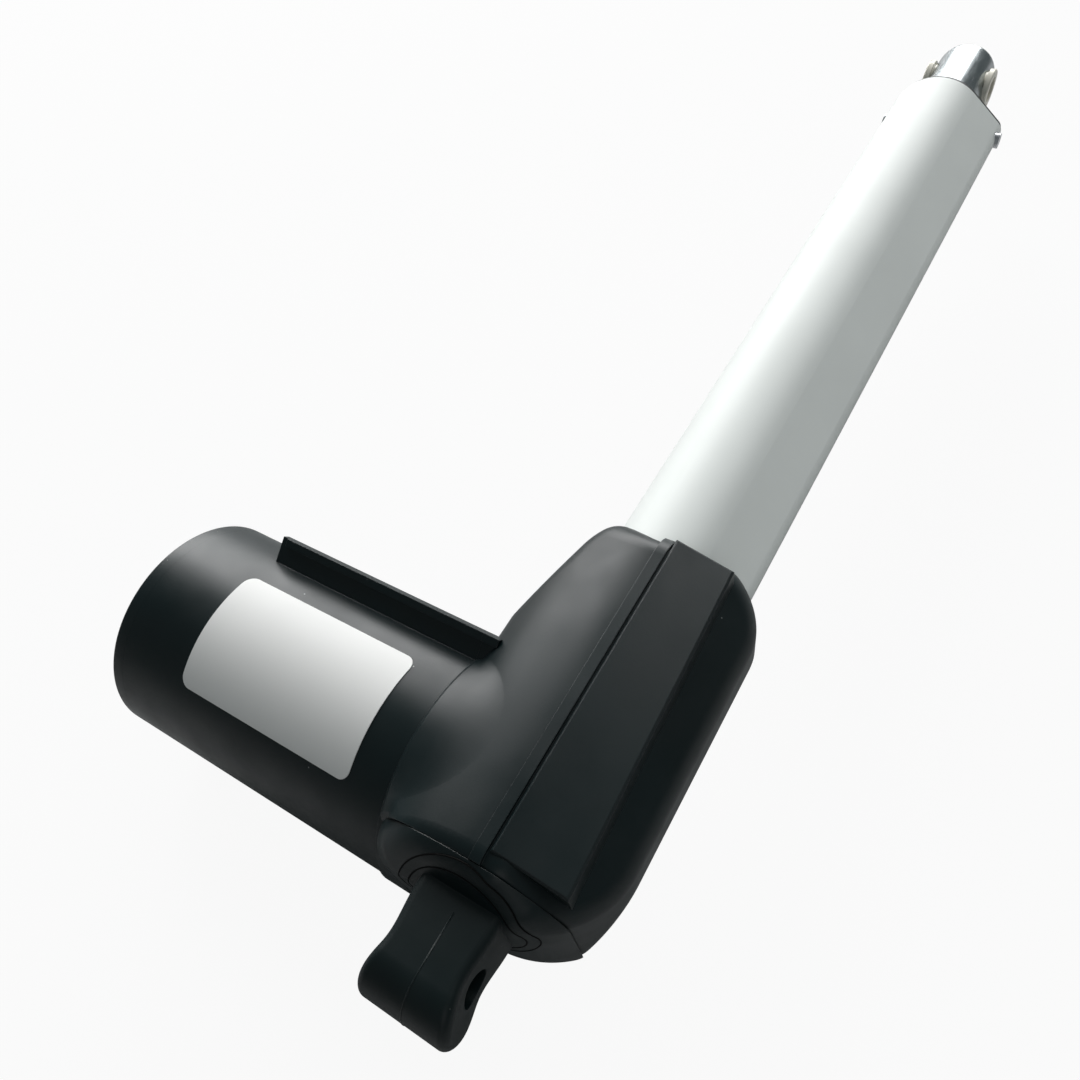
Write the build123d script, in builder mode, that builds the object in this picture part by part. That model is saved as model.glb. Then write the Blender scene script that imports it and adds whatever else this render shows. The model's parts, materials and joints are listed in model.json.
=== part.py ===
"""Electric linear actuator, lying on its side with the rod drawn in.

Millimetres. +X runs along the tube from the back eye to the rod eye, +Y along the motor,
away from the gears, and +Z is the side that the label faces. The origin is the centre of
the back eye. The worm gears lie between the back eye and the tube, with the motor's worm
under the spindle's wheel.
"""

import os
from math import cos, radians, sin, tan

from build123d import *

os.makedirs("parts", exist_ok=True)

# Overall sizes
built_in = 420.0  # back eye to rod eye with the rod drawn in
stroke = 215.0
eye_bore = 10.2

# Clearances
seat_gap = 0.15  # between two pieces that stay still
fit_gap = 0.02  # radial, a piece pushed onto its shaft or into its seat
running_gap = 0.05  # radial, a shaft in its bush
moving_gap = 0.4  # between pieces that move past each other

# Outer tube, round about the rod, with a narrow nose at -Y for the switches
tube_radius = 19.5
tube_nose_radius = 5.0
tube_nose_reach = 27.0
tube_wall = 2.2
tube_end_setback = 30.0  # from the rod eye back to the tube's end
tube_seat_depth = 24.0  # how far the tube goes into the gear housing
tube_end = built_in - tube_end_setback
tube_nose_offset = tube_nose_reach - tube_nose_radius

# Piston rod, its eye and the eye's bushes
rod_radius = 12.5
rod_wall = 2.6
rod_tip_reach = 14.0
rod_tip_round = 4.0
rod_plug_length = 14.0
rod_flat = 11.8  # half width across the faces that the flanges sit on
flange_radius = 8.2
flange_thickness = 2.5
bush_wall = 1.6
bush_length = 8.0

# Gear housing
housing_front = 137.0
housing_back = 23.0
housing_top = 21.5
housing_right = 34.2
housing_left = 34.4
housing_depth = 42.0
front_depth = 21.5  # below the axis, under the tube
edge_round = 9.0  # every outer edge of the housing is rounded by this
left_fall = 10.0  # how much lower the crown's arc is at the left side
slope_start = 9.0  # where the right shell's flat slope begins
slope_angle = 38.0
right_draft = 26.0  # how far the right side draws in towards the bottom
draft_start = 8.0
lean_start = 2.0  # height above the axis where both ends begin to lean in
nose_lean = 5.0
tail_lean = 5.0
corner_left = 12.0
corner_right = 22.0
corner_front = 12.0
left_taper = 12.0
tail_rise = 6.0  # how far the bottom rises towards the back end
tail_length = 14.0
deep_end = 92.0  # where the deep part under the gears ends
split_gap = 0.1

# Cover panel on the right shell and the lip beside it
lip_width = 3.4
lip_rise = 1.2
panel_gap = 0.7
panel_width = 21.5
panel_taper = 3.2
panel_back = 27.0
panel_front = 129.6
panel_rise = 1.4
panel_angle = 16.5
panel_edge = 0.6

# Gear train: the worm lies under the wheel on the spindle
gear_centre = 25.0
wheel_radius = 17.5
wheel_width = 12.0
wheel_teeth = 20
wheel_notch_depth = 1.6
wheel_notch_width = 2.7
worm_length = 30.0
worm_bush_wall = 3.0
worm_bush_reach = 9.0  # from the worm to the far end of its bush
shaft_radius = 4.0
spindle_radius = 7.0
bearing_radius = 15.0
bearing_width = 9.0
plate_radius = 17.0
plate_thickness = 3.0
roller_radius = 1.4
roller_count = 12
bush_radius = 12.0

# Motor, at right angles to the tube
motor_x = 51.5
motor_radius = 38.6
motor_wall = 3.0
motor_end = 148.5
motor_end_round = 4.0
flange_rim = 0.8
cone_start = 22.0  # how far the cone runs to the right of the tube's axis
cone_nose = 13.0
cone_middle = 18.0
cone_bend = 4.0
cone_flange = 10.0
motor_can_length = 82.0
motor_can_wall = 2.0
motor_plate_depth = 5.6
magnet_thickness = 5.0
magnet_sweep = 130.0
armature_length = 48.0
winding_radius = 20.0
winding_length = 5.0
commutator_radius = 9.0
commutator_length = 10.0
brush_length = 7.0
brush_side = 5.0
rear_bush_radius = 8.0
rear_bush_length = 7.0

# Rail along the motor's upper front side, where the lead lies
rail_angle = 52.0
rail_length = 82.0
rail_height = 8.7
rail_lead = 1.6  # how far the rail's outer part runs on over the gear housing's flange
rail_thickness = 2.6
rail_lean = 17.0
rail_lip = 1.2

# Label on the motor
label_start = 48.7
label_length = 68.0
label_angle = 69.8
label_sweep = 62.5
label_thickness = 0.25
label_corner = 3.5

# Collar behind the gear housing and the back fixture in it
collar_back = 12.5
collar_grow = 0.8
collar_corner = 2.0
collar_left = 33.2
collar_fall = 14.0  # the collar lies lower than the shell at its left side
neck_depth = 6.0
ring_radius = 20.5
ring_width = 3.0
stem_radius = 9.0
stem_head_radius = 12.0
stem_head_width = 4.0
neck_half_width = 12.2
waist_half_width = 11.8
eye_half_width = 14.0
eye_end_reach = 15.8
eye_half_height = 11.6
eye_edge = 2.5

# Power inlet in the left shell, facing away from the tube
inlet_width = 13.0
inlet_height = 16.0
inlet_depth = 12.0
inlet_wall = 1.5
inlet_x = 102.0
inlet_z = -4.0
inlet_pin = 0.9
inlet_pin_pitch = 4.6

# Nut, guide and switches inside the tube
nut_start = 136.0
nut_length = 24.0
nut_flange = 9.0
guide_length = 11.5
guide_rim = 2.2
guide_rim_inset = 0.7
wiper_wall = 2.6
wiper_depth = 1.5  # inside the tube's end
board_thickness = 1.2
board_width = 5.0
board_gap = 0.9  # from the tube's inner wall
switch_length = 8.0
switch_width = 3.6
switch_height = 1.6
screw_radius = 3.0
screw_height = 1.2

# Places worked out from the sizes above
motor_z = -gear_centre
worm_radius = gear_centre - wheel_radius - moving_gap
worm_bush_end = -worm_length / 2 - worm_bush_reach
motor_start = housing_left + collar_grow + seat_gap
motor_can_radius = motor_radius - motor_wall - seat_gap
wheel_back = motor_x - wheel_width / 2
wheel_front = motor_x + wheel_width / 2
bearing_back = wheel_back - moving_gap - bearing_width
plate_back = bearing_back - seat_gap - plate_thickness
stem_head_front = plate_back - seat_gap
stem_head_back = stem_head_front - stem_head_width
front_bush_back = wheel_front + moving_gap
tube_start = housing_front - tube_seat_depth
nut_front = nut_start + nut_length
nut_stop = nut_front + stroke
spindle_end = nut_stop - 4.0
guide_back = tube_end - guide_length
rod_inner = rod_radius - rod_wall
rod_start = nut_start + nut_flange + seat_gap
rod_joint = tube_end - 1.0
plug_back = rod_joint - rod_plug_length
bore_radius = eye_bore / 2
board_y = -tube_nose_reach + tube_wall + board_gap
taper_length = housing_front - edge_round - deep_end
inlet_mouth = housing_left - left_taper * (inlet_x - deep_end) / taper_length
motor_axis = Axis((motor_x, 0, motor_z), (0, 1, 0))
motor_plane = Plane(origin=(motor_x, 0, motor_z), x_dir=(1, 0, 0), z_dir=(0, 1, 0))
motor_half = Plane(origin=(motor_x, 0, motor_z), x_dir=(1, 0, 0), z_dir=(0, 0, 1))
eye_plane = Plane(origin=(built_in, 0, 0), x_dir=(1, 0, 0), z_dir=(0, 1, 0))
back_eye_plane = Plane(origin=(0, 0, 0), x_dir=(1, 0, 0), z_dir=(0, 1, 0))


def keep(piece, name):
    """Label a finished piece and write it."""
    piece.part.label = name
    export_step(piece.part, f"parts/{name}.step")


def tube_outline(grow):
    """The tube's outer outline, grown or shrunk all round, in the current sketch."""
    Circle(tube_radius + grow)
    with Locations((-tube_nose_offset, 0)):
        Circle(tube_nose_radius + grow)
    make_hull()


def ring_about_x(start, end, outer, inner):
    """A plain ring about the spindle's axis."""
    with BuildPart() as ring:
        with BuildSketch(Plane.YZ.offset(start)):
            Circle(outer)
            if inner > 0:
                Circle(inner, mode=Mode.SUBTRACT)
        extrude(amount=end - start)
    return ring.part


def ring_about_motor(start, end, outer, inner):
    """A plain ring about the motor's axis."""
    with BuildPart() as ring:
        with BuildSketch(motor_plane.offset(start)):
            Circle(outer)
            if inner > 0:
                Circle(inner, mode=Mode.SUBTRACT)
        extrude(amount=end - start)
    return ring.part


def across_outline(left_reach, fall):
    """Core outline across the tube: an arched crown at the left, a flat slope at the right."""
    top = housing_top - edge_round
    left = left_reach - edge_round
    right = edge_round - housing_right
    steep = tan(radians(slope_angle))
    slope_top = edge_round * tan(radians(slope_angle / 2)) - slope_start
    slope_low = top - steep * (slope_top - right)
    floor = -2 * housing_depth
    with BuildSketch(Plane.YZ) as outline:
        with BuildLine():
            TangentArc((0, top), (left, top - fall), tangent=(1, 0))
            Polyline(
                (left, top - fall),
                (left, floor),
                (right + right_draft, floor),
                (right, slope_low - draft_start),
                (right, slope_low),
                (slope_top, top),
                (0, top),
            )
        make_face()
    return outline.sketch


def plan_outline(end, taper, left_corner):
    """Core outline seen from above, from the collar to where this part of the housing ends."""
    back = collar_back + collar_grow + edge_round
    front = end - edge_round
    left = housing_left - edge_round
    right = edge_round - housing_right
    with BuildSketch(Plane.XY) as outline:
        with BuildLine():
            Polyline(
                (back, right),
                (front, right),
                (front, left - taper),
                (min(deep_end, front - 1), left),
                (back, left),
                close=True,
            )
        make_face()
        behind = outline.vertices().filter_by(lambda v: v.X < back + 1)
        fillet(behind.filter_by(lambda v: v.Y > 0), left_corner)
        behind = outline.vertices().filter_by(lambda v: v.X < back + 1)
        fillet(behind.filter_by(lambda v: v.Y < 1 + right), corner_right)
        ahead = outline.vertices().filter_by(lambda v: v.X > front - 0.5)
        fillet(ahead.filter_by(lambda v: v.Y > 0), corner_front)
        ahead = outline.vertices().filter_by(lambda v: v.X > front - 0.5)
        fillet(ahead.filter_by(lambda v: v.Y < 1 + right), corner_front)
    return outline.sketch


def side_outline(end, depth):
    """Core outline seen along the motor, leaning in at the top of both ends."""
    back = collar_back + collar_grow + edge_round
    front = end - edge_round
    top = housing_top - edge_round
    with BuildSketch(Plane.XZ) as outline:
        with BuildLine():
            Polyline(
                (back, tail_rise + edge_round - depth),
                (back + tail_length, edge_round - depth),
                (front, edge_round - depth),
                (front, lean_start),
                (front - nose_lean, top),
                (back + tail_lean, top),
                (back, lean_start),
                close=True,
            )
        make_face()
    return outline.sketch


def rounded_block(end, taper, depth, grow, left_reach, fall, left_corner):
    """One block of the housing: a sharp core, grown on all sides so that every edge is round."""
    reach = 3 * housing_depth
    with BuildPart() as block:
        extrude(across_outline(left_reach, fall), amount=housing_front)
        extrude(plan_outline(end, taper, left_corner), amount=reach, both=True, mode=Mode.INTERSECT)
        extrude(side_outline(end, depth), amount=reach, both=True, mode=Mode.INTERSECT)
        offset(amount=edge_round + grow, kind=Kind.ARC)
    return block.part


def housing_form(grow, left_reach=housing_left, fall=left_fall, left_corner=corner_left):
    """The moulded form that the shells and the collar share: a long block over a deep one."""
    left_side = (grow, left_reach, fall, left_corner)
    with BuildPart() as form:
        add(rounded_block(housing_front, left_taper, front_depth, *left_side))
        add(rounded_block(deep_end, 0, housing_depth, *left_side))
    return form.part


def worm_cone(grow):
    """The flared form about the worm, from the right shell's side to the motor's flange."""
    flange = motor_radius + flange_rim + grow
    with BuildPart() as cone:
        with BuildSketch(motor_half):
            with BuildLine():
                Polyline(
                    (0, -cone_start),
                    (cone_nose + grow, -cone_start),
                    (cone_middle + grow, -cone_bend),
                    (flange, motor_start - cone_flange),
                    (flange, motor_start - seat_gap),
                    (0, motor_start - seat_gap),
                    close=True,
                )
            make_face()
        revolve(axis=motor_axis)
    return cone.part


def gear_space():
    """The hollow for the spindle, its bearings, the wheel, the worm and the tube's seat."""
    steps = [
        (housing_back - 1, stem_head_back, stem_radius + seat_gap),
        (stem_head_back - seat_gap, stem_head_front + seat_gap, stem_head_radius + seat_gap),
        (plate_back - seat_gap, bearing_back, plate_radius + seat_gap),
        (bearing_back - seat_gap, wheel_back - moving_gap, bearing_radius + seat_gap),
        (wheel_back - moving_gap, wheel_front + moving_gap, wheel_radius + moving_gap),
        (front_bush_back, front_bush_back + bearing_width + seat_gap, bush_radius + seat_gap),
        (front_bush_back + bearing_width, tube_start, spindle_radius + 2),
    ]
    with BuildPart() as space:
        for start, end, radius in steps:
            add(ring_about_x(start, end, radius, 0))
        add(ring_about_motor(-worm_length / 2 - 1, motor_start, worm_radius + moving_gap, 0))
        add(ring_about_motor(worm_bush_end, 0, shaft_radius + worm_bush_wall + seat_gap, 0))
        add(ring_about_motor(motor_start - motor_plate_depth, motor_start, motor_can_radius + seat_gap, 0))
        with BuildSketch(Plane.YZ.offset(tube_start - seat_gap)):
            tube_outline(seat_gap)
        extrude(amount=housing_front)
    return space.part


def tube_body(start, end, grow):
    """A solid length of the tube's outline, grown or shrunk."""
    with BuildPart() as body:
        with BuildSketch(Plane.YZ.offset(start)):
            tube_outline(grow)
        extrude(amount=end - start)
    return body.part


def upright_block(corners):
    """An upright block over a plan outline, taller than the object."""
    with BuildPart() as block:
        with BuildSketch(Plane.XY.offset(-3 * housing_depth)):
            with BuildLine():
                Polyline(*corners, close=True)
            make_face()
        extrude(amount=6 * housing_depth)
    return block.part


def slab(x_low, x_high, y_low, y_high):
    """An upright block over a rectangle, taller than the object."""
    return upright_block([(x_low, y_low), (x_high, y_low), (x_high, y_high), (x_low, y_high)])


def motor_section(y):
    """Plane across the motor at y, centred on its axis, x along +X and y along +Z, facing -Y."""
    return Plane(origin=(motor_x, y, motor_z), x_dir=(1, 0, 0), z_dir=(0, -1, 0))


form = housing_form(0)
cone = worm_cone(0)
hollow = gear_space()
far = 3 * built_in
behind_shells = slab(-far, housing_back, -far, far)

# Left shell: the motor's side, with the motor's flange and the inlet's pocket
with BuildPart() as gear_shell_left:
    add(form)
    add(behind_shells, mode=Mode.SUBTRACT)
    add(cone)
    add(hollow, mode=Mode.SUBTRACT)
    split(bisect_by=Plane.XZ.offset(-split_gap / 2), keep=Keep.BOTTOM)
    with Locations((inlet_x, inlet_mouth, inlet_z)):
        Box(
            inlet_width + 2 * seat_gap,
            2 * (inlet_depth + seat_gap),
            inlet_height + 2 * seat_gap,
            mode=Mode.SUBTRACT,
        )
keep(gear_shell_left, "gear_shell_left")

# Right shell: the far side, with the raised lip along the parting line
lip_side = -split_gap / 2 - lip_width
with BuildPart() as gear_shell_right:
    add(housing_form(lip_rise))
    add(slab(-far, far, -far, lip_side), mode=Mode.SUBTRACT)
    add(form)
    add(behind_shells, mode=Mode.SUBTRACT)
    add(cone)
    add(hollow, mode=Mode.SUBTRACT)
    split(bisect_by=Plane.XZ.offset(split_gap / 2), keep=Keep.TOP)
keep(gear_shell_right, "gear_shell_right")

# Cover panel: a flat wedge on the right shell's slope, narrower towards the tube
panel_inner = lip_side - panel_gap
panel_outer = panel_inner - panel_width
panel_top = housing_top + panel_rise
panel_low = panel_top - panel_width * tan(radians(panel_angle))
with BuildPart() as cover_panel:
    with BuildSketch(Plane.YZ.offset(panel_back)):
        with BuildLine():
            Polyline(
                (panel_inner, panel_top),
                (panel_outer, panel_low),
                (panel_outer, 0),
                (panel_inner, 0),
                close=True,
            )
        make_face()
    extrude(amount=panel_front - panel_back)
    add(
        upright_block(
            [
                (panel_back, far),
                (panel_back, panel_outer),
                (panel_front, panel_outer + panel_taper),
                (panel_front, far),
            ]
        ),
        mode=Mode.INTERSECT,
    )
    chamfer(cover_panel.faces().sort_by(Axis.Z)[-1].edges(), panel_edge)
    add(housing_form(fit_gap), mode=Mode.SUBTRACT)
    add(tube_body(tube_start, far, seat_gap), mode=Mode.SUBTRACT)
keep(cover_panel, "cover_panel")

# Collar behind the shells, with the round hole for the fixture's ring
collar_front = housing_back - seat_gap
collar_form = housing_form(collar_grow, collar_left, collar_fall, collar_corner)
with BuildPart() as end_collar:
    add(collar_form)
    add(slab(collar_front, far, -far, far), mode=Mode.SUBTRACT)
    add(ring_about_x(0, housing_back, ring_radius + seat_gap, 0), mode=Mode.SUBTRACT)
    add(worm_cone(seat_gap), mode=Mode.SUBTRACT)
keep(end_collar, "end_collar")

with BuildPart() as lock_ring:
    add(collar_form)
    add(ring_about_x(0, collar_front, ring_radius, ring_radius - ring_width), mode=Mode.INTERSECT)
    add(worm_cone(seat_gap), mode=Mode.SUBTRACT)
keep(lock_ring, "lock_ring")


def eye_block():
    """The back fixture's neck and fishtailed eye, waisted where the bracket's cheeks lie."""
    neck_end = collar_back + neck_depth
    side_points = [
        (neck_end, neck_half_width),
        (0.7 * eye_bore, neck_half_width),
        (-0.1 * eye_bore, waist_half_width),
        (-0.95 * eye_bore, eye_half_width - 0.3),
        (-eye_end_reach, eye_half_width),
    ]
    with BuildPart() as block:
        with BuildSketch(Plane.XY):
            with BuildLine():
                left_side = Spline(*side_points)
                right_side = Spline(*[(x, -y) for x, y in side_points])
                Line(left_side @ 0, right_side @ 0)
                Line(left_side @ 1, right_side @ 1)
            make_face()
        extrude(amount=2 * eye_half_height, both=True)
        round_centre = eye_half_height - eye_end_reach
        with BuildSketch(Plane.XZ):
            with Locations((round_centre, 0)):
                Circle(eye_half_height)
            with Locations(((round_centre + neck_end) / 2, 0)):
                Rectangle(neck_end - round_centre, 2 * eye_half_height)
        extrude(amount=2 * eye_half_width, both=True, mode=Mode.INTERSECT)
        fillet(block.edges().filter_by(lambda e: e.center().X < neck_end - 1), eye_edge)
    return block.part


with BuildPart() as back_fixture:
    add(collar_form)
    base_radius = ring_radius - ring_width - seat_gap
    add(ring_about_x(0, collar_front, base_radius, 0), mode=Mode.INTERSECT)
    add(eye_block())
    add(ring_about_x(collar_back + neck_depth, stem_head_back, stem_radius, 0))
    add(ring_about_x(stem_head_back, stem_head_front, stem_head_radius, 0))
    with BuildSketch(back_eye_plane):
        Circle(bore_radius)
    extrude(amount=2 * eye_half_width, both=True, mode=Mode.SUBTRACT)
keep(back_fixture, "back_fixture")

# Outer tube and what closes its end
with BuildPart() as outer_tube:
    add(tube_body(tube_start, tube_end, 0))
    add(tube_body(tube_start, tube_end, -tube_wall), mode=Mode.SUBTRACT)
    pin_x = guide_back + screw_radius + 2
    with BuildSketch(Plane(origin=(pin_x, 0, 0), x_dir=(1, 0, 0), z_dir=(0, 1, 0))):
        Circle(screw_radius + seat_gap)
    extrude(amount=2 * tube_nose_reach, both=True, mode=Mode.SUBTRACT)
keep(outer_tube, "outer_tube")

guide_grow = -tube_wall - seat_gap
wiper_back = tube_end - wiper_depth
wiper_radius = rod_radius + wiper_wall
with BuildPart() as tube_end_guide:
    add(tube_body(guide_back, tube_end, guide_grow))
    add(tube_body(tube_end, tube_end + guide_rim, -guide_rim_inset))
    add(ring_about_x(guide_back, far, rod_radius + running_gap, 0), mode=Mode.SUBTRACT)
    add(ring_about_x(wiper_back, far, wiper_radius, 0), mode=Mode.SUBTRACT)
keep(tube_end_guide, "tube_end_guide")

with BuildPart() as rod_wiper:
    wiper_inner = rod_radius + running_gap
    add(ring_about_x(wiper_back + seat_gap, tube_end + guide_rim, wiper_radius - seat_gap, wiper_inner))
keep(rod_wiper, "rod_wiper")

with BuildPart() as tube_end_pins:
    for foot, head in (
        (tube_radius - tube_wall, tube_radius + screw_height),
        (tube_wall - tube_nose_reach, -tube_nose_reach - screw_height),
    ):
        with BuildSketch(Plane(origin=(pin_x, foot, 0), x_dir=(1, 0, 0), z_dir=(0, 1, 0))):
            Circle(screw_radius)
        extrude(amount=head - foot)
keep(tube_end_pins, "tube_end_pins")

# Piston rod with its eye and flanged bushes
with BuildPart() as rod_tube:
    add(ring_about_x(rod_start, rod_joint, rod_radius, rod_inner))
keep(rod_tube, "rod_tube")

with BuildPart() as rod_eye:
    rod_tip = built_in + rod_tip_reach
    add(ring_about_x(rod_joint + fit_gap, rod_tip, rod_radius, 0))
    fillet(rod_eye.edges().filter_by(lambda e: e.center().X > rod_tip - 1), rod_tip_round)
    add(ring_about_x(plug_back, rod_joint + fit_gap, rod_inner - fit_gap, 0))
    with BuildSketch(eye_plane):
        Circle(bore_radius + bush_wall)
    extrude(amount=2 * rod_radius, both=True, mode=Mode.SUBTRACT)
    for side in (-1, 1):
        with BuildSketch(eye_plane.offset(side * rod_flat)):
            Circle(flange_radius + seat_gap)
        extrude(amount=side * rod_radius, mode=Mode.SUBTRACT)
keep(rod_eye, "rod_eye")


def eye_bush(side):
    """One flanged bush of the rod's eye, on the +Y or the -Y side."""
    with BuildPart() as bush:
        with BuildSketch(eye_plane.offset(side * (rod_flat - bush_length))):
            Circle(bore_radius + bush_wall - fit_gap)
        extrude(amount=side * (bush_length + flange_thickness))
        with BuildSketch(eye_plane.offset(side * (rod_flat + fit_gap))):
            Circle(flange_radius)
        extrude(amount=side * (flange_thickness - fit_gap))
        rim = bush.edges().filter_by(lambda e: abs(e.center().Y) > rod_flat + flange_thickness - 0.1)
        chamfer(rim, 0.4)
        with BuildSketch(eye_plane):
            Circle(bore_radius)
        extrude(amount=side * 2 * rod_radius, mode=Mode.SUBTRACT)
    return bush


rod_eye_bush_left = eye_bush(1)
keep(rod_eye_bush_left, "rod_eye_bush_left")
rod_eye_bush_right = eye_bush(-1)
keep(rod_eye_bush_right, "rod_eye_bush_right")

# Nut on the rod's inner end, kept from turning by the tube's outline
with BuildPart() as spindle_nut:
    add(tube_body(nut_start, nut_start + nut_flange, -tube_wall - moving_gap))
    add(slab(-far, far, -far, board_y + board_width + moving_gap), mode=Mode.SUBTRACT)
    add(ring_about_x(nut_start, nut_front, rod_inner - fit_gap, 0))
    add(ring_about_x(nut_start, nut_front, spindle_radius + running_gap, 0), mode=Mode.SUBTRACT)
keep(spindle_nut, "spindle_nut")

# Limit switches on a strip in the tube's nose
board_start = tube_start + 1
board_end = guide_back - 2 * seat_gap
with BuildPart() as limit_switch_board:
    with Locations(((board_start + board_end) / 2, board_y + board_width / 2, 0)):
        Box(board_end - board_start, board_width, board_thickness)
keep(limit_switch_board, "limit_switch_board")


def limit_switch(x):
    """One small switch on the strip."""
    middle_y = board_y + board_width - switch_width / 2
    with BuildPart() as switch:
        with Locations((x, middle_y, (board_thickness + switch_height) / 2)):
            Box(switch_length, switch_width, switch_height)
    return switch


limit_switch_in = limit_switch(nut_start + nut_flange / 2)
keep(limit_switch_in, "limit_switch_in")
limit_switch_out = limit_switch(nut_start + nut_flange / 2 + stroke)
keep(limit_switch_out, "limit_switch_out")

# Spindle with its wheel and bearings
with BuildPart() as spindle:
    add(ring_about_x(bearing_back, spindle_end, spindle_radius, 0))
    chamfer(spindle.edges().filter_by(GeomType.CIRCLE), 0.8)
keep(spindle, "spindle")

with BuildPart() as worm_wheel:
    add(ring_about_x(wheel_back, wheel_front, wheel_radius, spindle_radius + fit_gap))
    with BuildSketch(Plane.YZ.offset(wheel_back)):
        with PolarLocations(wheel_radius, wheel_teeth):
            Rectangle(2 * wheel_notch_depth, wheel_notch_width)
    extrude(amount=wheel_width, mode=Mode.SUBTRACT)
keep(worm_wheel, "worm_wheel")

roller_circle = (bearing_radius + spindle_radius) / 2
race = roller_radius + 0.1
with BuildPart() as spindle_bearing_inner:
    add(
        ring_about_x(
            bearing_back, bearing_back + bearing_width, roller_circle - race, spindle_radius + fit_gap
        )
    )
keep(spindle_bearing_inner, "spindle_bearing_inner")

with BuildPart() as spindle_bearing_outer:
    add(ring_about_x(bearing_back, bearing_back + bearing_width, bearing_radius, roller_circle + race))
keep(spindle_bearing_outer, "spindle_bearing_outer")

with BuildPart() as spindle_bearing_rollers:
    with BuildSketch(Plane.YZ.offset(bearing_back + 1)):
        with PolarLocations(roller_circle, roller_count):
            Circle(roller_radius)
    extrude(amount=bearing_width - 2)
keep(spindle_bearing_rollers, "spindle_bearing_rollers")

with BuildPart() as spindle_front_bush:
    front_bush_start = front_bush_back + seat_gap
    front_bush_end = front_bush_back + bearing_width
    add(ring_about_x(front_bush_start, front_bush_end, bush_radius, spindle_radius + running_gap))
keep(spindle_front_bush, "spindle_front_bush")

with BuildPart() as load_plate:
    add(ring_about_x(plate_back, bearing_back - seat_gap, plate_radius, shaft_radius))
keep(load_plate, "load_plate")

# Worm and motor shaft
bush_end = -worm_length / 2 - 2 * moving_gap
with BuildPart() as worm:
    add(ring_about_motor(-worm_length / 2, worm_length / 2, worm_radius, shaft_radius + fit_gap))
keep(worm, "worm")

can_start = motor_start + seat_gap
can_end = can_start + motor_can_length
core_start = can_start + 12
core_end = core_start + armature_length
rear_wall = motor_end - motor_wall
rear_bush_start = rear_wall - rear_bush_length
with BuildPart() as motor_shaft:
    add(ring_about_motor(worm_bush_end + 1, rear_wall - 1, shaft_radius, 0))
keep(motor_shaft, "motor_shaft")

with BuildPart() as worm_end_bush:
    worm_bush_radius = shaft_radius + worm_bush_wall
    add(ring_about_motor(worm_bush_end + seat_gap, bush_end, worm_bush_radius, shaft_radius + running_gap))
keep(worm_end_bush, "worm_end_bush")

# Motor housing, closed at its far end, with the rail
rail_tilt = rail_angle - rail_lean
rail_root = motor_radius - motor_wall / 2
rail_x = rail_root * cos(radians(rail_angle))
rail_z = rail_root * sin(radians(rail_angle))
rail_reach = rail_height + motor_wall / 2
with BuildPart() as motor_housing:
    add(ring_about_motor(motor_start, motor_end, motor_radius, 0))
    fillet(motor_housing.edges().filter_by(lambda e: e.center().Y > motor_end - 1), motor_end_round)
    with BuildSketch(motor_section(motor_start)):
        with Locations(Location((rail_x, rail_z, 0), (0, 0, rail_tilt))):
            Rectangle(rail_reach, rail_thickness, align=(Align.MIN, Align.CENTER))
    extrude(amount=-rail_length)
    with BuildSketch(motor_section(motor_start)):
        with Locations(Location((rail_x, rail_z, 0), (0, 0, rail_tilt))):
            with Locations((rail_reach - rail_thickness, rail_lip)):
                Rectangle(rail_thickness, rail_thickness, align=(Align.MIN, Align.CENTER))
    extrude(amount=rail_thickness - rail_length)
    with BuildSketch(motor_section(motor_start)):
        with Locations(Location((rail_x, rail_z, 0), (0, 0, rail_tilt))):
            with Locations((rail_reach, 0)):
                Rectangle(rail_height / 2, rail_thickness, align=(Align.MAX, Align.CENTER))
    extrude(amount=rail_lead)
    add(ring_about_motor(motor_start, rear_wall, motor_radius - motor_wall, 0), mode=Mode.SUBTRACT)
    add(ring_about_motor(rear_bush_start, rear_wall, rear_bush_radius + 2, rear_bush_radius + fit_gap))
keep(motor_housing, "motor_housing")

rear_bush_end = rear_wall - seat_gap
with BuildPart() as motor_rear_bush:
    add(ring_about_motor(rear_bush_start, rear_bush_end, rear_bush_radius, shaft_radius + running_gap))
keep(motor_rear_bush, "motor_rear_bush")

# Inside the motor: plate and bearing, can, magnets, brushes and the turning armature
plate_start = motor_start - motor_plate_depth + seat_gap
with BuildPart() as motor_front_plate:
    add(ring_about_motor(plate_start, motor_start, motor_can_radius, bush_radius - 3 + fit_gap))
keep(motor_front_plate, "motor_front_plate")

with BuildPart() as motor_front_bearing:
    add(ring_about_motor(plate_start, motor_start, bush_radius - 3, shaft_radius + running_gap))
keep(motor_front_bearing, "motor_front_bearing")

can_inner = motor_can_radius - motor_can_wall
with BuildPart() as motor_can:
    add(ring_about_motor(can_start, can_end, motor_can_radius, can_inner))
keep(motor_can, "motor_can")

magnet_inner = can_inner - seat_gap - magnet_thickness
magnet_start = core_start - 5
magnet_end = core_end + 5


def magnet(side):
    """One curved magnet, above or below the armature."""
    with BuildPart() as curved:
        with BuildSketch(motor_section(magnet_start)):
            Circle(can_inner - seat_gap)
            Circle(magnet_inner, mode=Mode.SUBTRACT)
            reach = 2 * motor_radius
            half = radians(magnet_sweep / 2)
            with BuildLine():
                Polyline(
                    (0, 0),
                    (reach * sin(half), side * reach * cos(half)),
                    (reach, side * 2 * reach),
                    (-reach, side * 2 * reach),
                    (-reach * sin(half), side * reach * cos(half)),
                    close=True,
                )
            make_face(mode=Mode.INTERSECT)
        extrude(amount=magnet_start - magnet_end)
    return curved


motor_magnet_upper = magnet(1)
keep(motor_magnet_upper, "motor_magnet_upper")
motor_magnet_lower = magnet(-1)
keep(motor_magnet_lower, "motor_magnet_lower")

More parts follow.
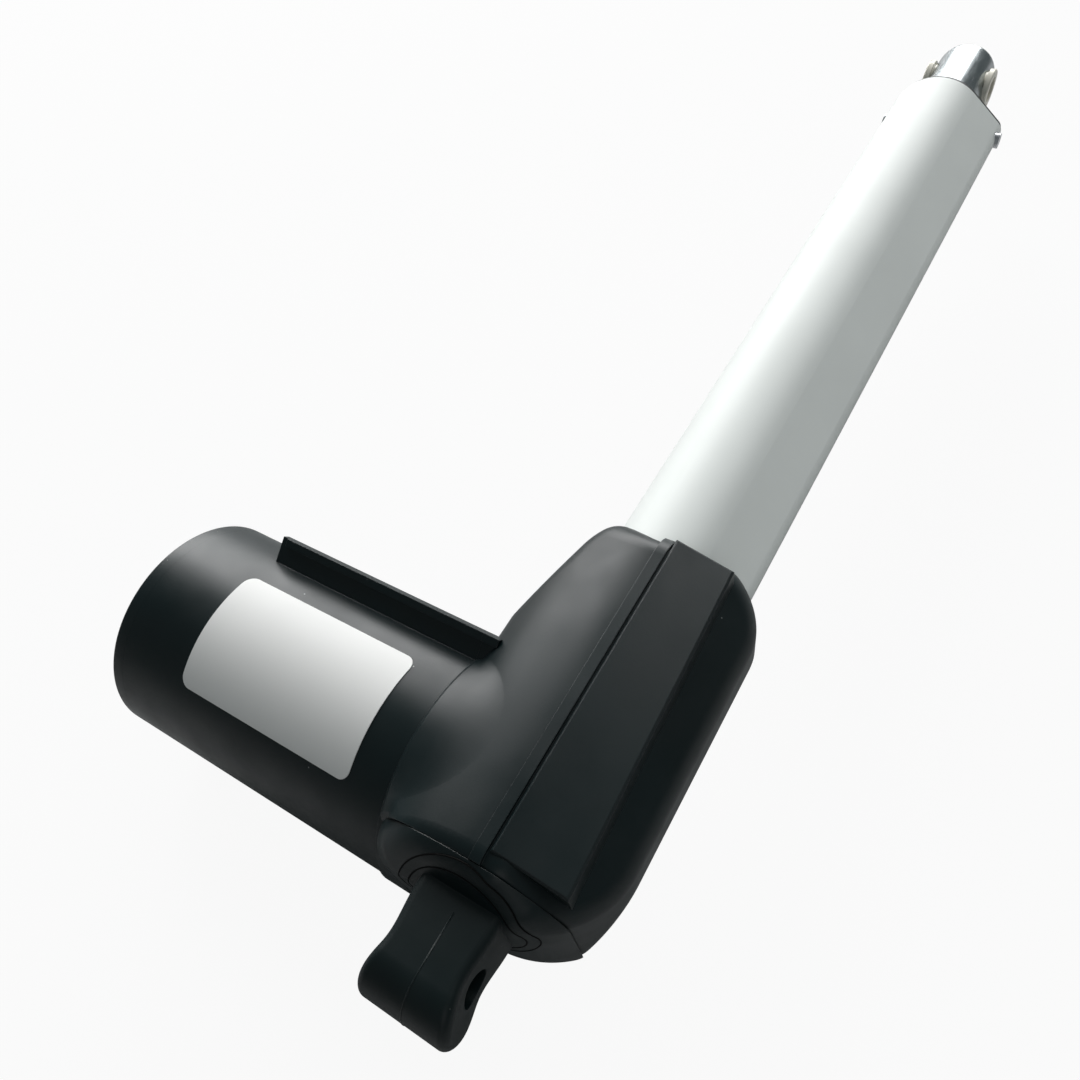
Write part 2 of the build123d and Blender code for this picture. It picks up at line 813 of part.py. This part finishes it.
core_radius = magnet_inner - 2 * moving_gap
with BuildPart() as armature_core:
    add(ring_about_motor(core_start, core_end, core_radius, shaft_radius + fit_gap))
keep(armature_core, "armature_core")

with BuildPart() as armature_windings:
    for start, end in (
        (core_start - winding_length, core_start - seat_gap),
        (core_end + seat_gap, core_end + winding_length),
    ):
        add(ring_about_motor(start, end, winding_radius, shaft_radius + fit_gap))
keep(armature_windings, "armature_windings")

commutator_start = core_end + winding_length + seat_gap
commutator_end = commutator_start + commutator_length
with BuildPart() as commutator:
    add(ring_about_motor(commutator_start, commutator_end, commutator_radius, shaft_radius + fit_gap))
keep(commutator, "commutator")

brush_y = can_end - seat_gap - brush_side / 2
brush_inner = commutator_radius + seat_gap
with BuildPart() as brush_plate:
    add(ring_about_motor(can_end + seat_gap, can_end + motor_can_wall, motor_can_radius, brush_inner + 2))
keep(brush_plate, "brush_plate")

with BuildPart() as carbon_brushes:
    for side in (-1, 1):
        brush_x = motor_x + side * (brush_inner + brush_length / 2)
        with Locations((brush_x, brush_y, motor_z)):
            Box(brush_length, brush_side, brush_side)
keep(carbon_brushes, "carbon_brushes")

# Label, blank, with round corners
label_middle = radians(label_angle + label_sweep / 2)
label_chord = 2 * motor_radius * sin(radians(label_sweep / 2))
with BuildPart() as label_blank:
    label_end = label_start + label_length
    label_outer = motor_radius + fit_gap + label_thickness
    add(ring_about_motor(label_start, label_end, label_outer, motor_radius + fit_gap))
    label_centre = (motor_x, (label_start + label_end) / 2, motor_z)
    label_facing = (cos(label_middle), 0, sin(label_middle))
    with BuildSketch(Plane(origin=label_centre, x_dir=(0, 1, 0), z_dir=label_facing)):
        RectangleRounded(label_length, label_chord, label_corner)
    extrude(amount=2 * motor_radius, mode=Mode.INTERSECT)
keep(label_blank, "label_blank")

# Power inlet, a cup with two pins, cut off flush with the shell's slanting face
cup_back = inlet_mouth - inlet_depth
with BuildPart() as power_inlet:
    with Locations((inlet_x, inlet_mouth, inlet_z)):
        Box(inlet_width, 2 * inlet_depth, inlet_height)
    add(form, mode=Mode.INTERSECT)
    with Locations((inlet_x, inlet_mouth + inlet_wall, inlet_z)):
        cup_width = inlet_width - 2 * inlet_wall
        Box(cup_width, 2 * inlet_depth, inlet_height - 2 * inlet_wall, mode=Mode.SUBTRACT)
    with BuildSketch(Plane(origin=(inlet_x, cup_back, inlet_z), x_dir=(1, 0, 0), z_dir=(0, 1, 0))):
        with GridLocations(inlet_pin_pitch, 0, 2, 1):
            Circle(inlet_pin + fit_gap)
    extrude(amount=inlet_depth, mode=Mode.SUBTRACT)
keep(power_inlet, "power_inlet")

with BuildPart() as inlet_pins:
    with BuildSketch(Plane(origin=(inlet_x, cup_back, inlet_z), x_dir=(1, 0, 0), z_dir=(0, 1, 0))):
        with GridLocations(inlet_pin_pitch, 0, 2, 1):
            Circle(inlet_pin)
    extrude(amount=inlet_depth - 2 * inlet_wall)
keep(inlet_pins, "inlet_pins")
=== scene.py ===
"""Looks of the electric linear actuator: camera, light, materials and the fine pieces.

Lengths are in metres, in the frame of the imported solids. Colours are linear.
"""

import json
from math import atan2, cos, pi, radians, sin

import bmesh
import bpy
from mathutils import Matrix, Vector
from mathutils.bvhtree import BVHTree


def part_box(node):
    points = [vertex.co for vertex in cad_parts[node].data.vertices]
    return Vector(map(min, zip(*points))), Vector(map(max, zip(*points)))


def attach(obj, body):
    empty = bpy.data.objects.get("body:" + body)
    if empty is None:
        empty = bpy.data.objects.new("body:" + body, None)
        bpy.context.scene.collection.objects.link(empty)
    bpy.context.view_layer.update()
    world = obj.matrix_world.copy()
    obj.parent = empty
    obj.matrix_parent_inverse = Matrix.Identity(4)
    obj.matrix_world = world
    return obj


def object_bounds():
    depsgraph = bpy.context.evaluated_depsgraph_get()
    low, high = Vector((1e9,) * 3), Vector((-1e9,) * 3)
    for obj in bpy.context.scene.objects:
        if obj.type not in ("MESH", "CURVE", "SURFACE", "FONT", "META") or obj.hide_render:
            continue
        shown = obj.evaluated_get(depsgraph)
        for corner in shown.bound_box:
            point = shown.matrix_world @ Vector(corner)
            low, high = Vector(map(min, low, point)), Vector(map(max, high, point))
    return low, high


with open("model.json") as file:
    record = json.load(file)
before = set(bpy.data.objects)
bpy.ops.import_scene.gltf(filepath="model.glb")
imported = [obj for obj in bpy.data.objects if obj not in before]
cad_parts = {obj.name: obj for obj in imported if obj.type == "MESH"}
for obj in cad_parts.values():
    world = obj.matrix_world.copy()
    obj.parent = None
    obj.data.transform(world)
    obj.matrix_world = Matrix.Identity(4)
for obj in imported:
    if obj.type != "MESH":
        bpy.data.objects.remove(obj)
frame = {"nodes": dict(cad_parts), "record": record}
cad_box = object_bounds()
nodes = frame["nodes"]
scene = bpy.context.scene
scene.view_settings.view_transform = "Standard"

# Camera at the photograph's angle
photo_width = 1080  # pixels
focal_length = 912.82  # pixels
sensor_width = 36  # millimetres
camera_place = Vector((-0.005609, -0.076589, 0.245576))
right = Vector((0.51146, -0.84697, -0.14504)).normalized()
up = Vector((0.74534, 0.35326, 0.56540)).normalized()
back = right.cross(up).normalized()
up = back.cross(right)
camera_data = bpy.data.cameras.new("camera")
camera_data.sensor_width = sensor_width
camera_data.lens = focal_length / photo_width * sensor_width
camera_data.clip_start = 0.01
camera = bpy.data.objects.new("camera", camera_data)
scene.collection.objects.link(camera)
turn = Matrix((right, up, back)).transposed().to_4x4()
camera.matrix_world = Matrix.Translation(camera_place) @ turn
scene.camera = camera


def light(name, place, target, size, watts):
    """One soft rectangular lamp that faces the target."""
    data = bpy.data.lights.new(name, "AREA")
    data.shape = "RECTANGLE"
    data.size, data.size_y = size
    data.energy = watts
    lamp = bpy.data.objects.new(name, data)
    scene.collection.objects.link(lamp)
    lamp.location = place
    lamp.rotation_euler = (Vector(place) - Vector(target)).to_track_quat("Z", "Y").to_euler()


light("key", (1.99, 2.35, 1.01), (0.12, 0, 0), (2.16, 1.57), 70)
light("window", (2.92, 0.67, 1.12), (0.2, 0, 0), (2.24, 1.36), 62)
light("front", (2.33, -0.85, 2.50), (0.25, 0, 0), (1.68, 1.68), 29)
light("accent", (0.93, 0.92, 1.03), (0.11, 0.01, 0.02), (0.5, 0.5), 8)
light("fill", (-0.9, -0.5, 0.9), (0.2, 0, 0), (0.8, 0.8), 1.2)

# Even, faintly cool surroundings, which the camera itself sees as white
world = bpy.data.worlds.new("studio")
scene.world = world
world.use_nodes = True
world_nodes, world_links = world.node_tree.nodes, world.node_tree.links
sky = world_nodes["Background"]
sky.inputs["Color"].default_value = (0.86, 0.98, 1.0, 1)
sky.inputs["Strength"].default_value = 0.15
seen = world_nodes.new("ShaderNodeBackground")
seen.inputs["Color"].default_value = (0.96, 0.965, 0.965, 1)
seen.inputs["Strength"].default_value = 1.0
choice = world_nodes.new("ShaderNodeMixShader")
ray = world_nodes.new("ShaderNodeLightPath")
world_links.new(ray.outputs["Is Camera Ray"], choice.inputs["Fac"])
world_links.new(sky.outputs["Background"], choice.inputs[1])
world_links.new(seen.outputs["Background"], choice.inputs[2])
world_links.new(choice.outputs["Shader"], world_nodes["World Output"].inputs["Surface"])


class Shader:
    """A material's node tree, with short calls for what every material here uses."""

    def __init__(self, name):
        self.material = bpy.data.materials.new(name)
        self.material.use_nodes = True
        self.tree = self.material.node_tree
        self.surface = self.tree.nodes["Principled BSDF"]
        self.place = self.node("ShaderNodeTexCoord").outputs["Object"]

    def node(self, kind, **inputs):
        made = self.tree.nodes.new(kind)
        for key, value in inputs.items():
            self.feed(made.inputs[key.replace("_", " ")], value)
        return made

    def feed(self, socket, value):
        if isinstance(value, bpy.types.NodeSocket):
            self.tree.links.new(value, socket)
        else:
            socket.default_value = value

    def noise(self, scale, detail=3.0, stretch=(1, 1, 1)):
        mapped = self.node("ShaderNodeMapping", Vector=self.place, Scale=stretch).outputs["Vector"]
        return self.node("ShaderNodeTexNoise", Vector=mapped, Scale=scale, Detail=detail).outputs["Fac"]

    def ranged(self, value, low, high, to_low, to_high):
        return self.node(
            "ShaderNodeMapRange", Value=value,
            From_Min=low, From_Max=high, To_Min=to_low, To_Max=to_high,
        ).outputs["Result"]

    def mix(self, factor, first, second):
        made = self.tree.nodes.new("ShaderNodeMix")
        made.data_type = "RGBA"
        self.feed(made.inputs["Factor"], factor)
        self.feed(made.inputs["A"], first)
        self.feed(made.inputs["B"], second)
        return made.outputs["Result"]

    def times(self, first, second):
        made = self.tree.nodes.new("ShaderNodeMath")
        made.operation = "MULTIPLY"
        self.feed(made.inputs[0], first)
        self.feed(made.inputs[1], second)
        return made.outputs[0]

    def rounded(self, radius, height, depth):
        """Round the edges by the radius and emboss the height; give the rounded normal."""
        softened = self.node("ShaderNodeBevel", Radius=radius)
        softened.samples = 4
        normal = softened.outputs["Normal"]
        bump = self.node("ShaderNodeBump", Height=height, Distance=depth, Normal=normal)
        self.feed(self.surface.inputs["Normal"], bump.outputs["Normal"])
        return normal

    def toned(self, scale, colour, vary):
        """The colour, a little darker and lighter in slow patches."""
        dark = tuple(c * (1 - vary) for c in colour) + (1,)
        pale = tuple(min(1, c * (1 + vary)) for c in colour) + (1,)
        return self.mix(self.ranged(self.noise(scale, 4.0), 0.35, 0.65, 0, 1), dark, pale)


looks = {}
# Colour of the painted highlight along moulded edges, then the colour of the dust specks
edge_highlight_tone = (0.336, 0.35, 0.364, 1)
dust_tone = (0.4, 0.4, 0.4, 1)


def moulded(name, colour, rough, grain=1800.0, depth=0.000012, vary=0.18,
            edge_highlight=0.0, dust=0.0, round_edge=0.0004, sheen=0.5):
    """Moulded plastic: fine grain, slow changes of tone, a painted highlight along the edges and a
    little dust.
    """
    s = Shader(name)
    normal = s.rounded(round_edge, s.noise(grain, 2.0), depth)
    tone = s.toned(22.0, colour, vary)
    if edge_highlight > 0:
        # Painted highlight: the colour turns lighter along the rounded edges, with uneven strength
        close = s.tree.nodes.new("ShaderNodeVectorMath")
        close.operation = "DOT_PRODUCT"
        s.feed(close.inputs[0], normal)
        s.feed(close.inputs[1], s.node("ShaderNodeNewGeometry").outputs["Normal"])
        edge = s.ranged(close.outputs["Value"], 0.80, 0.99, edge_highlight, 0.0)
        edge_highlight_mask = s.times(edge, s.ranged(s.noise(160.0, 4.0), 0.3, 0.7, 0.4, 1.0))
        tone = s.mix(edge_highlight_mask, tone, edge_highlight_tone)
    if dust > 0:
        spots = s.node("ShaderNodeTexVoronoi", Vector=s.place, Scale=160.0)
        small = s.ranged(spots.outputs["Distance"], 0.02, 0.05, dust, 0.0)
        chance = s.node("ShaderNodeSeparateColor", Color=spots.outputs["Color"]).outputs["Red"]
        tone = s.mix(s.times(small, s.ranged(chance, 0.80, 0.82, 0.0, 1.0)), tone, dust_tone)
    s.feed(s.surface.inputs["Base Color"], tone)
    roughness = s.ranged(s.noise(60.0, 5.0), 0.3, 0.7, rough - 0.05, rough + 0.06)
    s.feed(s.surface.inputs["Roughness"], roughness)
    s.surface.inputs["Specular IOR Level"].default_value = sheen
    looks[name] = s.material


def metal(name, colour, rough, stretch=(1, 1, 1), scale=900.0, depth=0.000004, vary=0.08,
          metallic=1.0, sheen=0.5):
    """Metal with the fine lines that its working leaves, stretched along one axis."""
    s = Shader(name)
    lines = s.noise(scale, 3.0, stretch)
    s.rounded(0.0003, lines, depth)
    s.feed(s.surface.inputs["Base Color"], s.toned(35.0, colour, vary))
    s.feed(s.surface.inputs["Roughness"], s.ranged(lines, 0.3, 0.7, rough * 0.8, rough * 1.25))
    s.surface.inputs["Metallic"].default_value = metallic
    s.surface.inputs["Specular IOR Level"].default_value = sheen
    looks[name] = s.material


moulded("shell_black", (0.0005, 0.0058, 0.0068), 0.40, edge_highlight=0.08, dust=0.7, sheen=0.38)
moulded("fixture_black", (0.0008, 0.0058, 0.0064), 0.45, edge_highlight=0.06, dust=0.5, sheen=0.32)
metal("tube_grey", (0.725, 0.75, 0.73), 0.42, (0.02, 1, 1), 1400.0,
      vary=0.015, metallic=0.0, sheen=0.18)
metal("rod_chrome", (0.38, 0.41, 0.42), 0.22, (0.2, 1, 1), 700.0, 0.0000001, 0.03)
metal("steel", (0.50, 0.51, 0.53), 0.32, scale=1200.0)
metal("bronze", (0.62, 0.42, 0.20), 0.35, scale=1200.0)
moulded("cream_plastic", (0.74, 0.71, 0.62), 0.35, 900.0, 0.000006, 0.04)
moulded("gear_plastic", (0.72, 0.69, 0.58), 0.35, 900.0, 0.000006, 0.04)
moulded("dark_plastic", (0.022, 0.025, 0.028), 0.45)
moulded("seal_rubber", (0.002, 0.002, 0.002), 0.7, 2500.0, 0.00001, sheen=0.1)
moulded("label_white", (0.70, 0.70, 0.688), 0.48, 600.0, 0.000004, 0.012,
        round_edge=0.00005, sheen=0.15)
moulded("magnet", (0.05, 0.05, 0.055), 0.6, 700.0, 0.00003)
metal("copper", (0.62, 0.26, 0.12), 0.3, (1, 0.05, 1), 2500.0, 0.00003)
moulded("carbon", (0.02, 0.02, 0.02), 0.7)
moulded("board_green", (0.02, 0.12, 0.05), 0.35, 500.0)

slots = {row["node"]: row["material_slot"] for row in frame["record"]["subparts"]}
for name, piece in nodes.items():
    for place in piece.material_slots:
        place.material = looks[slots[name]]
    if not piece.material_slots:
        piece.data.materials.append(looks[slots[name]])


def loops(name, rows, body, slot, joined=False, smooth=True):
    """A closed skin over rows of points, each row a loop, that rides on a body.

    The first and last rows are capped, or joined to each other to make a ring.
    """
    mesh = bmesh.new()
    grid = [[mesh.verts.new(point) for point in row] for row in rows]
    pairs = list(zip(grid, grid[1:]))
    if joined:
        pairs.append((grid[-1], grid[0]))
    else:
        mesh.faces.new(grid[0])
        mesh.faces.new(grid[-1])
    for first, second in pairs:
        for i in range(len(first)):
            j = (i + 1) % len(first)
            mesh.faces.new((first[i], first[j], second[j], second[i]))
    bmesh.ops.recalc_face_normals(mesh, faces=mesh.faces)
    made = bpy.data.meshes.new(name)
    mesh.to_mesh(made)
    mesh.free()
    for face in made.polygons:
        face.use_smooth = smooth
    piece = bpy.data.objects.new(name, made)
    scene.collection.objects.link(piece)
    made.materials.append(looks[slot])
    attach(piece, body)


# Moulding line down the middle of the back fixture, over its round end
eye_radius = 0.0116
line_start, line_y = 0.0115, -0.00085
line_half_width, line_rise = 0.0003, 0.00012
line_section = ((-1, -0.6), (-0.6, 0.7), (0, 1), (0.6, 0.7), (1, -0.6), (0, -1))  # across, out
eye_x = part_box("back_fixture")[0].x + eye_radius
line = [(line_start, eye_radius), (eye_x, eye_radius)]
for angle in range(5, 180, 5):
    line.append((eye_x - eye_radius * sin(radians(angle)), eye_radius * cos(radians(angle))))
rows = []
for i, (x, z) in enumerate(line):
    before, after = line[max(i - 1, 0)], line[min(i + 1, len(line) - 1)]
    along = Vector((after[0] - before[0], 0, after[1] - before[1])).normalized()
    out = Vector((along.z, 0, -along.x))
    row = []
    for side, rise in line_section:
        row.append(Vector((x, line_y + side * line_half_width, z)) + out * rise * line_rise)
    rows.append(row)
loops("fixture_moulding_line", rows, "fixed_body", "fixture_black")

# Crisp rim round the motor housing's far end. Its two borders sink gently into the housing.
rim_round, rim_depth, rim_skin = 0.0010, 0.0052, 0.00001
rim_lead, rim_sink, rim_inside = 0.004, 0.0004, 0.0008
rim_flat = 0.0001  # before each border, so that the shading stays that of the housing
rim_steps = 160
can_low, can_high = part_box("motor_can")
axis_x, axis_z = (can_low.x + can_high.x) / 2, (can_low.z + can_high.z) / 2
housing_low, housing_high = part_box("motor_housing")
rim_radius, rim_end = axis_x - housing_low.x, housing_high.y
rim_start, rim_inner = rim_end - rim_depth, rim_radius - rim_depth
profile = [
    (rim_radius - rim_sink, rim_start - rim_lead),
    (rim_radius + rim_skin, rim_start),
    (rim_radius + rim_skin, rim_start + rim_flat),
]
for angle in range(0, 91, 15):
    inward, backward = rim_round * (1 - cos(radians(angle))), rim_round * (1 - sin(radians(angle)))
    profile.append((rim_radius + rim_skin - inward, rim_end + rim_skin - backward))
profile += [
    (rim_inner + rim_flat, rim_end + rim_skin),
    (rim_inner, rim_end + rim_skin),
    (rim_inner - rim_lead, rim_end - rim_sink),
    (rim_inner, rim_end - rim_inside),
    (rim_radius - rim_inside, rim_start),
]
rows = []
for step in range(rim_steps):
    turn_x, turn_z = cos(2 * pi * step / rim_steps), sin(2 * pi * step / rim_steps)
    rows.append([(axis_x + r * turn_x, y, axis_z + r * turn_z) for r, y in profile])
loops("motor_end_rim", rows, "fixed_body", "shell_black", joined=True)

# End of the rail, which runs on into the left shell's crown
rail_tilt = radians(35)
rail_ends = (0.0300, 0.0357)
rail_section = (  # out from the root, and across
    (-0.002, -0.00130), (0.01026, -0.00130), (0.01026, 0.00252),
    (0.00764, 0.00252), (0.00764, 0.00132), (-0.002, 0.00132),
)
rail_root = Vector((axis_x + 0.0228, 0, axis_z + 0.0292))
rail_out = Vector((cos(rail_tilt), 0, sin(rail_tilt)))
rail_side = Vector((-rail_out.z, 0, rail_out.x))
rows = []
for y in rail_ends:
    middle = rail_root + Vector((0, y, 0))
    rows.append([middle + rail_out * reach + rail_side * side for reach, side in rail_section])
loops("rail_end", rows, "fixed_body", "shell_black", smooth=False)

# Dark beads in the round joints about the back fixture, along the rear edge of the widest face: painted
# shade of the joint grooves, in the seal_rubber look
bead_radius, bead_out, bead_forward = 0.00026, 0.00008, 0.0001
same_radius, face_length = 0.00002, 0.001
for name, node in (("lock_ring_bead", "lock_ring"), ("fixture_base_bead", "back_fixture")):
    points = [v.co for v in nodes[node].data.vertices]
    widest = max(Vector((0, v.y, v.z)).length for v in points) - same_radius
    rim = [v for v in points if Vector((0, v.y, v.z)).length > widest]
    front = max(v.x for v in rim)
    edge = {}
    for v in rim:
        key = round(atan2(v.z, v.y), 2)
        if v.x < front - face_length and (key not in edge or v.x < edge[key].x):
            edge[key] = v
    rows = []
    for key in sorted(edge):
        spot = edge[key]
        outward = Vector((0, spot.y, spot.z)).normalized()
        row = []
        for angle in range(0, 360, 60):
            side, rise = bead_radius * cos(radians(angle)), bead_radius * sin(radians(angle))
            row.append(spot + outward * (bead_out + side) + Vector((bead_forward - rise, 0, 0)))
        rows.append(row)
    loops(name, rows, "fixed_body", "seal_rubber", joined=True)

# Shoulder that carries the left shell's crown smoothly over to the motor's flange: each row
# lies taut over the shell's top, and the rows fade into the shell at both ends
shoulder_rows, row_gap, row_start = 68, 0.001, 0.0003
row_columns, column_start, column_end = 33, 0.004, 0.00005
front_fade, rear_fade = 10, 8  # rows
shoulder_sink, shoulder_depth = 0.00003, 0.0006
sky_height, missed_height = 0.06, -0.03
shell = nodes["gear_shell_left"].data
shell_tree = BVHTree.FromPolygons(
    [v.co for v in shell.vertices], [tuple(face.vertices) for face in shell.polygons]
)
shell_low, shell_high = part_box("gear_shell_left")
width = shell_high.y - column_end - column_start
rows = []
for step in range(shoulder_rows):
    x = shell_low.x + row_start + step * row_gap
    heights = []
    for column in range(row_columns):
        y = column_start + width * column / (row_columns - 1)
        hit = shell_tree.ray_cast(Vector((x, y, sky_height)), Vector((0, 0, -1)))[0]
        heights.append((y, hit.z if hit else missed_height))
    taut = []
    for point in heights:
        while len(taut) > 1:
            (y1, z1), (y2, z2) = taut[-2:]
            if (z2 - z1) * (point[0] - y1) > (point[1] - z1) * (y2 - y1):
                break
            taut.pop()
        taut.append(point)
    fade = min(1, step / rear_fade, (shoulder_rows - 1 - step) / front_fade)
    fade = fade * fade * (3 - 2 * fade)
    top = []
    for y, z in heights:
        for (y1, z1), (y2, z2) in zip(taut, taut[1:]):
            if y1 <= y <= y2:
                raised = z1 + (z2 - z1) * (y - y1) / (y2 - y1)
        top.append(Vector((x, y, z + (raised - z) * fade - shoulder_sink)))
    bottom = [Vector((x, y, z - shoulder_depth)) for y, z in reversed(heights)]
    rows.append(top + bottom)
loops("shell_shoulder", rows, "fixed_body", "shell_black")

# Pale floor under the motor, white where the camera sees it, with the object's shadow kept
floor_tone, floor_whitening = 0.45, 0.93
floor_reach, floor_gap = 8, 0.0002
floor_shader = Shader("floor_white")
floor_shader.surface.inputs["Base Color"].default_value = (floor_tone, floor_tone, floor_tone, 1)
floor_shader.surface.inputs["Roughness"].default_value = 0.9
seen_directly = floor_shader.node("ShaderNodeLightPath").outputs["Is Camera Ray"]
glow = floor_shader.node("ShaderNodeEmission", Color=(1, 1, 1, 1), Strength=1.0)
blend = floor_shader.tree.nodes.new("ShaderNodeMixShader")
floor_shader.feed(blend.inputs["Fac"], floor_shader.times(seen_directly, floor_whitening))
floor_shader.feed(blend.inputs[1], floor_shader.surface.outputs["BSDF"])
floor_shader.feed(blend.inputs[2], glow.outputs["Emission"])
floor_shader.feed(floor_shader.tree.nodes["Material Output"].inputs["Surface"], blend.outputs["Shader"])

floor_mesh = bpy.data.meshes.new("floor")
ground = cad_box[0][2] - floor_gap
corners = [(x * floor_reach, y * floor_reach, ground) for x, y in ((-1, -1), (1, -1), (1, 1), (-1, 1))]
floor_mesh.from_pydata(corners, [], [(0, 1, 2, 3)])
floor = bpy.data.objects.new("floor", floor_mesh)
scene.collection.objects.link(floor)
floor_mesh.materials.append(floor_shader.material)
